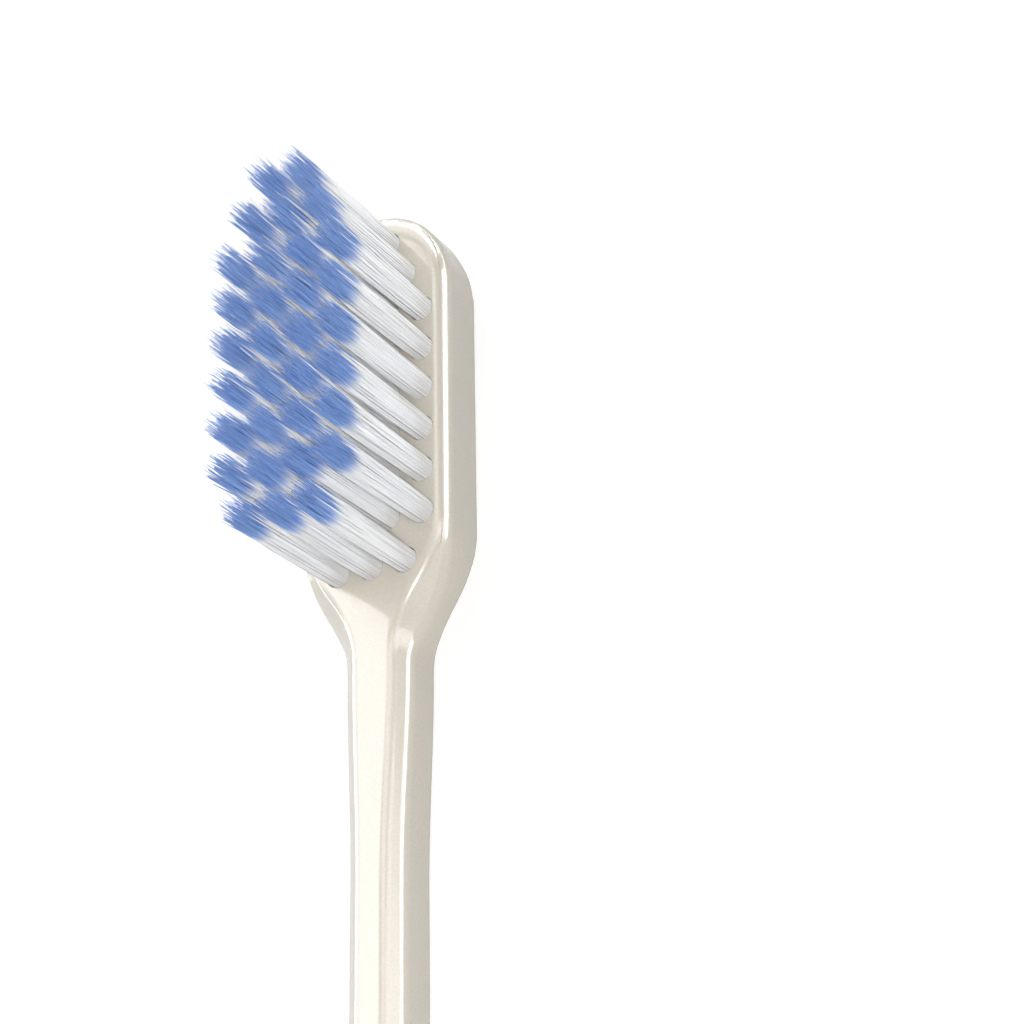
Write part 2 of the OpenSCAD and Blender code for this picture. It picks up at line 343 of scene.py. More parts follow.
def half_width(at):
    if at < shoulder_start:
        return head_width / 2
    if at < flank_start:
        arc_height = math.sqrt(shoulder_radius**2 - (at - shoulder_start) ** 2)
        return head_width / 2 - shoulder_radius + arc_height
    if at < flank_end:
        first_drop = shoulder_radius * (1 - math.cos(shoulder_angle))
        return head_width / 2 - first_drop - (at - flank_start) * math.tan(shoulder_angle)
    if at < neck_start:
        return neck_width / 2 + neck_radius - math.sqrt(neck_radius**2 - (neck_start - at) ** 2)
    return along(at, neck_width, slim_width, grip_width, butt_width) / 2


print("width half way down the shoulder:", round(2 * half_width(flank_middle), 2), "mm")


# %% The height and the slanted edges at any distance
head_thickness, neck_thickness, slim_thickness = 4.7, 4.6, 4.7
grip_thickness, butt_thickness = 8.2, 7.2
# How wide the slants are on the head, the shoulder, the neck and the grip
back_edges, front_edges = (1.1, 1.7, 1.35, 2.2), (0.5, 1.25, 0.85, 2.2)


def top_height(at):
    if at < neck_start:
        return mix(head_thickness, neck_thickness, ease(at, face_end, neck_start))
    return along(at, neck_thickness, slim_thickness, grip_thickness, butt_thickness)


def edge_width(at, edges):
    head_edge, shoulder_edge, neck_edge, grip_edge = edges
    if at < flank_middle:
        return mix(head_edge, shoulder_edge, ease(at, shoulder_start, flank_middle))
    if at < neck_start:
        return mix(shoulder_edge, neck_edge, ease(at, flank_middle, neck_start))
    return along(at, neck_edge, neck_edge, grip_edge, grip_edge)


print("thickness where the flare starts:", round(top_height(flare_start), 2), "mm")


# %% Walk down the right-hand side of the outline
arch_steps, butt_steps = 30, 24
stretches = [
    (arch_length, shoulder_start, 16), (shoulder_start, flank_start, 16), (flank_start, flank_end, 8),
    (flank_end, neck_start, 12), (neck_start, slim_start, 14), (slim_start, flare_start, 8),
    (flare_start, grip_start, 36), (grip_start, butt_start, 24),
]
side = []
for step in range(arch_steps):
    turn = math.pi / 2 * step / arch_steps
    side.append((head_width / 2 * math.sin(turn), arch_length * (1 - math.cos(turn))))
for start, end, steps in stretches:
    for step in range(steps):
        at = mix(start, end, step / steps)
        side.append((half_width(at), at))
for step in range(butt_steps + 1):
    turn = math.pi / 2 * step / butt_steps
    side.append((butt_width / 2 * math.cos(turn), butt_start + butt_length * math.sin(turn)))
side = np.array(side)
side[-1, 0] = 0

# A quarter turn from the line between a point's two neighbours is the way out of the handle.
before = np.vstack([side[1] * (-1, 1), side[:-1]])
after = np.vstack([side[1:], side[-2] * (-1, 1)])
run = after - before
outward = np.column_stack([run[:, 1], -run[:, 0]]) / np.linalg.norm(run, axis=1)[:, None]
print("outline:", len(side), "points down one side")

# %% [markdown]
# ## The section of the handle
# Cut across, the handle has a flat back with a low crown, a slanted edge, an upright side, and a
# slanted edge to the bristle face. The slants have soft corners, and those corners are what
# catches the light. A bevel modifier gives every edge one width, while here the corners change
# along the brush: tight round the bristle face and soft on the neck and the grip. So each section
# is worked out with its own arcs, and the sections are joined as a skin. Behind the tip, the back
# is rounded off like a nose, and that rounding dies out to the sides in two pointed ridges. On
# the bristle side, the face bends down early towards the tip, so its corner is a long bow there.

# %% The height of the back, with its nose
nose_depth, nose_reach, nose_fade_share = 1.9, 2.0, 0.5
# The nose has its full depth from 1 / 1.4 of its strength on. It flows into the slant over
# 0.8 mm at the outline, and over 0.08 mm from 0.6 mm inside it.
nose_depth_gain = 1.4
blend_at_outline, blend_inside, blend_reach = 0.8, 0.08, 0.6
crown_height = 0.15


def soft_max(first, second, blend):
    """The larger of two heights, with the crease where they cross filled up over the blend."""
    return max(first, second) + max(0, blend - abs(first - second)) ** 2 / (4 * blend)


def back_height(inset, edge, crown, strength, softness):
    """The height of the back at an inset from the outline: its crown, its slant or its nose."""
    lift = crown_height * crown
    crowned = lift * max(0, 1 - max(0, inset - edge) / (2 * crown)) ** 2
    slanted = lift + (edge - lift) * (1 - inset / edge)
    height = soft_max(crowned, slanted, softness)
    reach, depth = nose_reach * strength, mix(edge, nose_depth, min(1, nose_depth_gain * strength))
    if inset < reach:
        nose = depth * (1 - math.sqrt(1 - (1 - inset / reach) ** 2))
        blend = mix(blend_at_outline, blend_inside, min(1, inset / blend_reach))
        height = soft_max(height, nose, blend)
    return height


print("the nose is cut", back_height(0, back_edges[0], 1, 1, 0.1), "mm up at the very tip")


# %% Round a corner, or lay a bow across it
corner_samples = 9
# An arc takes up to nearly all of a line, or just under half of one that two arcs share.
whole_line, half_line = 0.98, 0.49


def rounded(corner, start, end, radius, end_share=half_line):
    """The points of an arc that rounds a corner between two neighbouring points."""
    corner, start, end = (np.array(point, float) for point in (corner, start, end))
    to_start, to_end = start - corner, end - corner
    length_start, length_end = np.linalg.norm(to_start), np.linalg.norm(to_end)
    to_start, to_end = to_start / length_start, to_end / length_end
    half = math.acos(max(-1, min(1, float(to_start @ to_end)))) / 2
    cut = min(radius / math.tan(half), whole_line * length_start, end_share * length_end)
    radius = cut * math.tan(half)
    middle = corner + (to_start + to_end) / np.linalg.norm(to_start + to_end) * radius / math.sin(half)
    first, last = corner + to_start * cut - middle, corner + to_end * cut - middle
    sweep = math.atan2(first[0] * last[1] - first[1] * last[0], float(first @ last))
    points = []
    for step in range(corner_samples):
        turn = sweep * step / (corner_samples - 1)
        c, s = math.cos(turn), math.sin(turn)
        points.append(middle + (c * first[0] - s * first[1], s * first[0] + c * first[1]))
    return points


def bowed(corner, start, end):
    """The points of a bow from start to end that leans into the corner."""
    share = np.linspace(0, 1, corner_samples)[:, None]
    corner, start, end = (np.array(point, float) for point in (corner, start, end))
    return (1 - share) ** 2 * start + 2 * share * (1 - share) * corner + share**2 * end


print("a corner gets", len(rounded((0, 0), (0, 1), (1, 0), 0.3)), "points")


# %% Work out the back of a section
back_samples = 26
# How far in the back reaches, and how far it stays from the middle of a slim part
back_reach, butt_reach, middle_gap = 4.05, 2.9, 0.1
# The crown takes 0.45 of the room behind the slant, and is 0.1 to 1 mm wide.
crown_share, least_crown, most_crown = 0.45, 0.1, 1
# On the head and on the grip: where the back meets the corner below the side, and how soft the
# inner end of the slant is. That softness is at most 1.6 times the crown.
low_insets, low_softness, softness_by_crown = (0.3, 1.4), (0.12, 1.2), 1.6


def back_line(at, strength, on_grip):
    """The back from its middle to the foot of the slant, and the corner between slant and side."""
    edge = edge_width(at, back_edges)
    slant_end = max(edge, nose_reach * strength)
    if at > butt_start:
        room = butt_reach
    elif at < arch_length:
        room = back_reach
    else:
        room = min(back_reach, half_width(at) - middle_gap)
    crown = max(least_crown, min(most_crown, crown_share * (room - slant_end)))
    softness = min(mix(*low_softness, on_grip), softness_by_crown * crown)
    insets = np.linspace(slant_end + 2 * crown, mix(*low_insets, on_grip), back_samples)
    heights = [back_height(inset, edge, crown, strength, softness) for inset in (*insets, 0)]
    return list(zip(insets, heights)), (0, heights[-1])


print("the back of a section:", len(back_line(arch_length, 0, 0)[0]), "points")


# %% Work out a whole section
# Radii of the corners: below the side, above it, and at the bristle face
low_radius, grip_radius = 0.4, 3
outer_radius_tip, outer_radius_head = 0.45, 1.1
inner_radius_tip, inner_radius_head, inner_radius_neck = 1.2, 0.6, 1.6
# The radii of the tip hold for its first 0.3 mm. Each section holds 0.9 mm of the bristle face.
tip_hold, face_strip = 0.3, 0.9
# How far the bow at the tip reaches into the face, and the share of the arch that it dies out over
arch_bow, bow_share = 0.8, 0.7
# The upper arc of the head may take more than half of the side. That ends at the start of the neck.
head_side_share, share_start, share_end = 0.62, neck_start - 1, neck_start + 4


def section(index):
    """One section as points of inset and height, from the middle of the back to the face."""
    at = side[index, 1]
    on_grip, past_tip = ease(at, flare_start, grip_start), ease(at, tip_hold, arch_length)
    back, low_corner = back_line(at, ease(1 - index / arch_steps, 0, nose_fade_share), on_grip)
    edge, top = edge_width(at, front_edges), top_height(at)
    high_corner, face_corner = (0, top - edge), (edge, top)
    wall_middle = (0, mix(low_corner[1], high_corner[1], 0.5))
    low = rounded(low_corner, back[-1], wall_middle, mix(low_radius, grip_radius, on_grip))

    outer_radius = mix(mix(outer_radius_tip, outer_radius_head, past_tip), grip_radius, on_grip)
    side_share = mix(head_side_share, half_line, ease(at, share_start, share_end))
    outer = rounded(high_corner, face_corner, wall_middle, outer_radius, side_share)[::-1]

    head_radius = mix(inner_radius_tip, inner_radius_head, past_tip)
    neck_share = ease(at, shoulder_start, flank_end)
    inner_radius = mix(mix(head_radius, inner_radius_neck, neck_share), grip_radius, on_grip)
    slant_end = outer[0] * whole_line + np.array(face_corner) * (1 - whole_line)
    inner = np.array(rounded(face_corner, slant_end, (edge + face_strip, top), inner_radius))
    on_arch = 1 - ease(at, 0, bow_share * arch_length)
    bow = bowed(face_corner, inner[0], inner[-1] + (arch_bow * on_arch, 0))
    return [*back, *low, wall_middle, *outer, *mix(inner, bow, on_arch)]


sections = [section(index) for index in range(len(side))]
print("section:", len(sections[0]), "points from back to face")


# %% Stand the sections along the outline
def rib_points(index):
    """A section stood up on the outline, square to it."""
    return [
        (*(side[index] - outward[index] * inset), height) for inset, height in sections[index]
    ]


right_ribs = np.array([rib_points(index) for index in range(len(side))])
right_ribs[0, :, 0] = right_ribs[-1, :, 0] = 0
left_ribs = right_ribs[-2:0:-1] * (-1, 1, 1)
ribs = np.vstack([right_ribs, left_ribs])
rib_count, levels = ribs.shape[:2]
points = ribs.reshape(-1, 3)
points = np.column_stack([points[:, 0], brush_length / 2 - points[:, 1], points[:, 2]]) * MM
print(rib_count, "ribs of", levels, "points round the handle")


# %% Join the ribs as a skin
def point_number(rib, level):
    return (rib % rib_count) * levels + level


faces = [
    (
        point_number(rib, level), point_number(rib + 1, level),
        point_number(rib + 1, level + 1), point_number(rib, level + 1),
    )
    for rib in range(rib_count) for level in range(levels - 1)
]
# Strips from the right-hand ribs to the left-hand ones close the back and the face.
for level in (0, levels - 1):
    for rib in range(len(side) - 1):
        ring = [point_number(number, level) for number in (rib, rib + 1, -rib - 1, -rib)]
        faces.append(tuple(dict.fromkeys(ring)))

blank_mesh = bpy.data.meshes.new("handle_blank")
blank_mesh.from_pydata([tuple(point) for point in points], [], faces)
weld_distance = 0.0005 * MM
shell = bmesh.new()
shell.from_mesh(blank_mesh)
bmesh.ops.remove_doubles(shell, verts=shell.verts, dist=weld_distance)
bmesh.ops.recalc_face_normals(shell, faces=shell.faces)
shell.to_mesh(blank_mesh)
shell.free()
blank_mesh.shade_smooth()
blank = bpy.data.objects.new("handle_blank", blank_mesh)
scene.collection.objects.link(blank)
print("blank:", len(blank_mesh.polygons), "faces")

# %% [markdown]
# ## The bores in the head
# Each tuft sits in a blind bore, moulded by a pin, and the anchor bites a small pocket into the
# plastic at both sides of it. The 32 bores follow one plan of rows, so Geometry Nodes make one
# cutter, copy it to each point of the plan and take the copies out of the blank. A cone at the
# mouth breaks the sharp rim, as the real pins do. Cutting by hand would take 32 booleans.

# %% Start the tree that bores the head
def new_tree(name, inputs):
    """A tree with named inputs, the identifier of each, and their sockets inside the tree."""
    tree = bpy.data.node_groups.new(name, "GeometryNodeTree")
    identifiers = {}
    for label, (kind, value) in inputs.items():
        socket = tree.interface.new_socket(name=label, in_out="INPUT", socket_type="NodeSocket" + kind)
        if value is not None:
            socket.default_value = value
        identifiers[label] = socket.identifier
    tree.interface.new_socket(name="Geometry", in_out="OUTPUT", socket_type="NodeSocketGeometry")
    return tree, identifiers, add_node(tree, "NodeGroupInput").outputs


bore_tree, bore_inputs, given = new_tree("bore_the_head", {
    "Geometry": ("Geometry", None), "Plan": ("Object", None), "Plastic": ("Material", None),
    "Bore Diameter": ("Float", 1.5 * MM), "Bore Depth": ("Float", 3 * MM), "Rim": ("Float", 0.035 * MM),
    "Pocket Size": ("Vector", (1.96 * MM, 0.31 * MM, 1.36 * MM)), "Pocket Depth": ("Float", 2 * MM),
    "Pocket Turn": ("Float", wire_turn),
})
print("inputs of the bores:", list(bore_inputs))

# %% Make a pin with its rim cone and its pocket
tree = bore_tree
round_sides = 48
bore_radius = add_node(tree, "ShaderNodeMath", {0: given["Bore Diameter"], 1: 2.0}, operation="DIVIDE")
full_depth = add_node(tree, "ShaderNodeMath", {0: given["Bore Depth"], 1: 2.0}, operation="MULTIPLY")
bore_pin = add_node(tree, "GeometryNodeMeshCylinder", {
    "Vertices": round_sides, "Radius": bore_radius, "Depth": full_depth,
})

# The cone is as far above the face as below it, so that it cuts the face cleanly.
wide_mouth = add_node(tree, "ShaderNodeMath", {
    0: given["Rim"], 1: 2.0, 2: bore_radius,
}, operation="MULTIPLY_ADD")
rim_height = add_node(tree, "ShaderNodeMath", {0: given["Rim"], 1: 2.0}, operation="MULTIPLY")
rim_cone = add_node(tree, "GeometryNodeMeshCone", {
    "Vertices": round_sides, "Radius Top": wide_mouth, "Radius Bottom": bore_radius,
    "Depth": rim_height,
})
lower_rim = add_node(tree, "ShaderNodeMath", {0: given["Rim"], 1: -1.0}, operation="MULTIPLY")
rim_place = add_node(tree, "ShaderNodeCombineXYZ", {"Z": lower_rim})
rim = add_node(tree, "GeometryNodeTransform", {"Geometry": rim_cone, "Translation": rim_place})

pocket_block = add_node(tree, "GeometryNodeMeshCube", {"Size": given["Pocket Size"]})
pocket_z = add_node(tree, "ShaderNodeMath", {0: given["Pocket Depth"], 1: -1.0}, operation="MULTIPLY")
pocket_place = add_node(tree, "ShaderNodeCombineXYZ", {"Z": pocket_z})
pocket_turn = add_node(tree, "ShaderNodeCombineXYZ", {"Z": given["Pocket Turn"]})
pocket = add_node(tree, "GeometryNodeTransform", {
    "Geometry": pocket_block, "Translation": pocket_place, "Rotation": pocket_turn,
})
cutter = add_node(tree, "GeometryNodeMeshBoolean", {
    "Mesh 2": [bore_pin, rim, pocket],
}, operation="UNION", solver="EXACT")
print("cutter of a bore:", len(tree.nodes), "nodes")


# %% Copy the pin to the plan and take it out of the blank
def finish_tree(tree, geometry, material):
    """Ends a tree with plain geometry that carries its material."""
    plain = add_node(tree, "GeometryNodeRealizeInstances", {"Geometry": geometry})
    finished = add_node(tree, "GeometryNodeSetMaterial", {"Geometry": plain, "Material": material})
    add_node(tree, "NodeGroupOutput", {"Geometry": finished})


plan_points = add_node(tree, "GeometryNodeObjectInfo", {"Object": given["Plan"]})
cutters = add_node(tree, "GeometryNodeInstanceOnPoints", {
    "Points": plan_points.outputs["Geometry"], "Instance": cutter,
})
bored = add_node(tree, "GeometryNodeMeshBoolean", {
    "Mesh 1": given["Geometry"], "Mesh 2": cutters,
}, operation="DIFFERENCE", solver="EXACT")
finish_tree(tree, bored, given["Plastic"])
print("tree of the bores:", len(tree.nodes), "nodes")


# %% Bore the head on the plan of the tufts
def grow(piece, tree, identifiers, values):
    """Runs a tree on a piece and turns the result into the piece's own plain mesh."""
    modifier = piece.modifiers.new(tree.name, "NODES")
    modifier.node_group = tree
    for label, value in values.items():
        modifier[identifiers[label]] = value
    depsgraph = bpy.context.evaluated_depsgraph_get()
    mesh = bpy.data.meshes.new_from_object(
        piece.evaluated_get(depsgraph), preserve_all_data_layers=True, depsgraph=depsgraph
    )
    piece.modifiers.remove(modifier)
    piece.data = mesh
    mesh.name = piece.name
    return mesh


tufts = [
    (row, column, (column - (count - 1) / 2) * column_pitch, brush_length / 2 - row_places[row])
    for row, count in enumerate(row_counts) for column in range(count)
]
plan_mesh = bpy.data.meshes.new("tuft_plan")
plan_mesh.from_pydata([(x * MM, y * MM, head_thickness * MM) for _, _, x, y in tufts], [], [])
plan = bpy.data.objects.new("tuft_plan", plan_mesh)
scene.collection.objects.link(plan)

# The bores stop 1.7 mm above the back. An edge of more than 38 degrees stays sharp.
bore_floor, sharp_angle = 1.7, math.radians(38)
handle = blank
handle.name = "toothbrush_handle"
handle_mesh = grow(handle, bore_tree, bore_inputs, {
    "Plan": plan, "Plastic": pearl, "Bore Diameter": bore_diameter * MM,
    "Bore Depth": (head_thickness - bore_floor) * MM,
})
handle_mesh.shade_smooth()
handle_mesh.set_sharp_from_angle(angle=sharp_angle)
bpy.data.objects.remove(plan)
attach(handle, "root")
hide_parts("handle")
print("handle:", len(handle_mesh.polygons), "faces,", len(tufts), "bores")

# %% [markdown]
# ## Where the filaments stand
# A tuft is a bundle of filaments packed in its bore. Hair particles would draw it quickly, but
# they leave no mesh. Here one tree grows any tuft, and each tuft has its own seed. The tree
# copies one line for each filament and sets its foot on a sunflower spiral, where each foot is
# turned by the golden angle from the one before it. That packs a round bore evenly.

# %% Start the tree that grows a tuft
tuft_tree, tuft_inputs, given = new_tree("grow_a_tuft", {
    "Place": ("Vector", (0, 0, 0)), "Nylon": ("Material", None), "Seed": ("Int", 1),
    "Filaments": ("Int", 112), "Segments": ("Int", 7), "Filament Width": ("Float", 0.118 * MM),
    "Foot Radius": ("Float", 0.67 * MM), "Tip Radius": ("Float", 0.83 * MM),
    "Foot Depth": ("Float", 2.9 * MM), "Height": ("Float", 10.97 * MM),
    "Trim Loss": ("Float", 0.12), "Taper Start": ("Float", 0.6), "Point Width": ("Float", 0.16),
    "Stray": ("Float", 0.12 * MM), "Tuft Lean": ("Float", 0.08 * MM), "Dye Stray": ("Float", 0.1 * MM),
    "Late Dye": ("Float", 11 * MM), "Late Side": ("Vector", (0.69, 0.72, 0)),
})
tree = tuft_tree
line = add_node(tree, "GeometryNodeCurvePrimitiveLine")
line_points = add_node(tree, "ShaderNodeMath", {0: given["Segments"], 1: 1.0}, operation="ADD")
parted = add_node(tree, "GeometryNodeResampleCurve", {"Curve": line, "Count": line_points})
copies = add_node(tree, "GeometryNodeDuplicateElements", {
    "Geometry": parted, "Amount": given["Filaments"],
}, domain="SPLINE")
number = copies.outputs["Duplicate Index"]
print("inputs of a tuft:", list(tuft_inputs))

# %% Set the feet on a sunflower spiral
golden_turn = math.radians(137.508)
half_step = add_node(tree, "ShaderNodeMath", {0: number, 1: 0.5}, operation="ADD")
filled = add_node(tree, "ShaderNodeMath", {0: half_step, 1: given["Filaments"]}, operation="DIVIDE")
reach = add_node(tree, "ShaderNodeMath", {0: filled, 1: 0.5}, operation="POWER")
foot_reach = add_node(tree, "ShaderNodeMath", {
    0: reach, 1: given["Foot Radius"],
}, operation="MULTIPLY")
turned = add_node(tree, "ShaderNodeMath", {
    0: number, 1: golden_turn, 2: given["Seed"],
}, operation="MULTIPLY_ADD")
foot_cos = add_node(tree, "ShaderNodeMath", {0: turned}, operation="COSINE")
foot_sin = add_node(tree, "ShaderNodeMath", {0: turned}, operation="SINE")
foot_direction = add_node(tree, "ShaderNodeCombineXYZ", {"X": foot_cos, "Y": foot_sin})
foot = add_node(tree, "ShaderNodeVectorMath", {
    0: foot_direction, "Scale": foot_reach,
}, operation="SCALE")
print("feet of a tuft:", len(tree.nodes), "nodes")

# %% [markdown]
# ## How the filaments rise
# In the bore the bundle is tight. Above the face it opens a little, each filament strays a
# little more towards its tip, and the whole tuft leans as it pleases. Real tufts are trimmed and
# then ground, so their ends are of uneven height. A random value with a seed does all of this
# the same way on each run. Each use of luck adds a step of its own to the tuft's seed, or the
# filaments that are cut short would always be the ones with the darkest shade.

# %% Trim each filament to a length of its own
luck_steps = {"trim": 100.0, "lean": 200.0, "dye": 300.0, "shade": 400.0, "late": 500.0}
trim_seed = add_node(tree, "ShaderNodeMath", {0: given["Seed"], 1: luck_steps["trim"]}, operation="ADD")
trim_luck = add_node(tree, "FunctionNodeRandomValue", {
    "ID": number, "Seed": trim_seed,
}, data_type="FLOAT")
trim_share = add_node(tree, "ShaderNodeMath", {
    0: trim_luck, 1: given["Trim Loss"],
}, operation="MULTIPLY")
tip_share = add_node(tree, "ShaderNodeMath", {0: 1.0, 1: trim_share}, operation="SUBTRACT")
tip_height = add_node(tree, "ShaderNodeMath", {
    0: given["Height"], 1: tip_share,
}, operation="MULTIPLY")
foot_height = add_node(tree, "ShaderNodeMath", {0: given["Foot Depth"], 1: -1.0}, operation="MULTIPLY")
step_along = add_node(tree, "GeometryNodeSplineParameter")
height = add_node(tree, "ShaderNodeMapRange", {
    "Value": step_along.outputs["Factor"], "To Min": foot_height, "To Max": tip_height,
})
rise = add_node(tree, "ShaderNodeMath", {
    0: height, 1: given["Height"],
}, operation="DIVIDE", use_clamp=True)
print("heights of a tuft:", len(tree.nodes), "nodes")

# %% Open the bundle towards its tips
opening = add_node(tree, "ShaderNodeMath", {
    0: given["Tip Radius"], 1: given["Foot Radius"],
}, operation="DIVIDE")
early_rise = add_node(tree, "ShaderNodeMath", {0: rise, 1: 0.5}, operation="POWER")
spread = add_node(tree, "ShaderNodeMapRange", {
    "Value": early_rise, "To Min": 1.0, "To Max": opening,
})
opened = add_node(tree, "ShaderNodeVectorMath", {0: foot, "Scale": spread}, operation="SCALE")
print("opening of a tuft:", len(tree.nodes), "nodes")

# %% Let the filaments stray and the tuft lean
both_sides = {0: (-1, -1, 0), 1: (1, 1, 0)}
stray_luck = add_node(tree, "FunctionNodeRandomValue", {
    **both_sides, "ID": number, "Seed": given["Seed"],
}, data_type="FLOAT_VECTOR")
strayed = add_node(tree, "ShaderNodeVectorMath", {
    0: stray_luck, "Scale": given["Stray"],
}, operation="SCALE")
lean_seed = add_node(tree, "ShaderNodeMath", {0: given["Seed"], 1: luck_steps["lean"]}, operation="ADD")
lean_luck = add_node(tree, "FunctionNodeRandomValue", {
    **both_sides, "ID": 0, "Seed": lean_seed,
}, data_type="FLOAT_VECTOR")
leaned = add_node(tree, "ShaderNodeVectorMath", {
    0: lean_luck, "Scale": given["Tuft Lean"],
}, operation="SCALE")
both_ways = add_node(tree, "ShaderNodeVectorMath", {0: strayed, 1: leaned}, operation="ADD")
rise_squared = add_node(tree, "ShaderNodeMath", {0: rise, 1: 2.0}, operation="POWER")
bent = add_node(tree, "ShaderNodeVectorMath", {
    0: both_ways, "Scale": rise_squared,
}, operation="SCALE")
print("stray and lean of a tuft:", len(tree.nodes), "nodes")

# %% Put each point in its place
upright = add_node(tree, "ShaderNodeCombineXYZ", {"Z": height})
across = add_node(tree, "ShaderNodeVectorMath", {0: opened, 1: bent}, operation="ADD")
shaped = add_node(tree, "ShaderNodeVectorMath", {0: across, 1: upright}, operation="ADD")
placed = add_node(tree, "ShaderNodeVectorMath", {0: shaped, 1: given["Place"]}, operation="ADD")
threads = add_node(tree, "GeometryNodeSetPosition", {"Geometry": copies, "Position": placed})
print("lines of a tuft:", len(tree.nodes), "nodes")

# %% [markdown]
# ## What the nylon reads
# A material can't know how far up its thread a point is, so the tree writes it on the points:
# the height at which the dye finds the point, and a shade for each filament. The dye starts late
# on a few of the outer filaments at one side of a tuft, which leaves pale streaks between the
# tufts. These streaks are partly uneven dye and partly a painted highlight, which stands in for
# glints on the outer filaments. A picture of streaks could be laid over the brush instead, but it
# wouldn't follow the filaments.

# %% Find how late the dye starts on a filament, and where glints are painted
streak_seed = add_node(tree, "ShaderNodeMath", {0: given["Seed"], 1: luck_steps["late"]}, operation="ADD")
streak_luck = add_node(tree, "FunctionNodeRandomValue", {
    "ID": number, "Seed": streak_seed,
}, data_type="FLOAT")
# The powers leave a few filaments out of all, and of these the ones in the outer skin of the tuft.
streak_power, skin_power = 2.5, 4.0
few_streaks = add_node(tree, "ShaderNodeMath", {0: streak_luck, 1: streak_power}, operation="POWER")
near_skin = add_node(tree, "ShaderNodeMath", {0: filled, 1: skin_power}, operation="POWER")
streaks_outside = add_node(tree, "ShaderNodeMath", {0: few_streaks, 1: near_skin}, operation="MULTIPLY")
facing = add_node(tree, "ShaderNodeVectorMath", {
    0: foot_direction, 1: given["Late Side"],
}, operation="DOT_PRODUCT")
on_streak_side = add_node(tree, "ShaderNodeMath", {0: facing, 1: 0.0}, operation="MAXIMUM")
# Painted highlight: on the outer filaments of one side the dye starts late, and these pale ends stand in
# for glints as well as for uneven dye.
late_dye_and_glint = add_node(tree, "ShaderNodeMath", {
    0: streaks_outside, 1: on_streak_side,
}, operation="MULTIPLY")
late_dye_and_glint_drop = add_node(tree, "ShaderNodeMath", {
    0: late_dye_and_glint, 1: given["Late Dye"],
}, operation="MULTIPLY")
print("late dye of a tuft:", len(tree.nodes), "nodes")

# %% Write the dye and the shade on the lines
dye_seed = add_node(tree, "ShaderNodeMath", {0: given["Seed"], 1: luck_steps["dye"]}, operation="ADD")
dye_luck = add_node(tree, "FunctionNodeRandomValue", {
    2: -1.0, 3: 1.0, "ID": number, "Seed": dye_seed,
}, data_type="FLOAT")
height_less_late_dye_and_glint = add_node(tree, "ShaderNodeMath", {0: height, 1: late_dye_and_glint_drop}, operation="SUBTRACT")
dye_height = add_node(tree, "ShaderNodeMath", {
    0: dye_luck, 1: given["Dye Stray"], 2: height_less_late_dye_and_glint,
}, operation="MULTIPLY_ADD")
with_dye = add_node(tree, "GeometryNodeStoreNamedAttribute", {
    "Geometry": threads, "Name": "dye_height", "Value": dye_height,
}, data_type="FLOAT", domain="POINT")
shade_seed = add_node(tree, "ShaderNodeMath", {
    0: given["Seed"], 1: luck_steps["shade"],
}, operation="ADD")
shade_luck = add_node(tree, "FunctionNodeRandomValue", {
    "ID": number, "Seed": shade_seed,
}, data_type="FLOAT")
with_shade = add_node(tree, "GeometryNodeStoreNamedAttribute", {
    "Geometry": with_dye, "Name": "filament_shade", "Value": shade_luck,
}, data_type="FLOAT", domain="POINT")
print("dye and shade of a tuft:", len(tree.nodes), "nodes")

# %% [markdown]
# ## The tubes of the filaments
# The ends of the filaments are ground to fine points, so a tuft ends like a soft paintbrush. A
# small ring is run along each line and scaled on the way: full up to the start of the taper,
# then down to the point. Five sides are enough for a thread that is a few pixels wide, and keep
# 3,584 of them light.

# %% Give each line a tapered tube
taper = add_node(tree, "ShaderNodeMapRange", {
    "Value": rise, "From Min": given["Taper Start"], "From Max": 1.0,
    "To Min": 1.0, "To Max": given["Point Width"],
})
filament_radius = add_node(tree, "ShaderNodeMath", {
    0: given["Filament Width"], 1: 0.5,
}, operation="MULTIPLY")
radius_here = add_node(tree, "ShaderNodeMath", {0: taper, 1: filament_radius}, operation="MULTIPLY")
tube_sides = 5
ring = add_node(tree, "GeometryNodeCurvePrimitiveCircle", {"Resolution": tube_sides, "Radius": 1.0})
tubes = add_node(tree, "GeometryNodeCurveToMesh", {
    "Curve": with_shade, "Profile Curve": ring, "Scale": radius_here, "Fill Caps": True,
})
smooth_tubes = add_node(tree, "GeometryNodeSetShadeSmooth", {"Geometry": tubes})
finish_tree(tree, smooth_tubes, given["Nylon"])
print("tree of the tufts:", len(tree.nodes), "nodes")

# %% Grow the 32 tufts
seeds_per_row = 10
bristle_triangles = 0
for row, column, x, y in tufts:
    label = f"row_{row + 1}_col_{column + 1}"
    bristles = bpy.data.objects.new("bristles_" + label, bpy.data.meshes.new("bristles_" + label))
    scene.collection.objects.link(bristles)
    mesh = grow(bristles, tuft_tree, tuft_inputs, {
        "Place": (x * MM, y * MM, head_thickness * MM), "Nylon": nylon,
        "Seed": seeds_per_row * row + column + 1,
    })
    bristle_triangles += sum(len(face.vertices) - 2 for face in mesh.polygons)
    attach(bristles, "root")
    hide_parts("tuft_" + label)
print("bristles:", bristle_triangles, "triangles in", len(tufts), "tufts")

# %% [markdown]
# ## A white floor and background
# A product like this is shown on plain white. A very bright floor would do that, but its light
# would wash out the underside of the brush. So the floor and the world look white to the camera,
# look dimmer in reflections, and give the brush only a modest light. The floor is still a real
# surface, so it keeps the shadow.

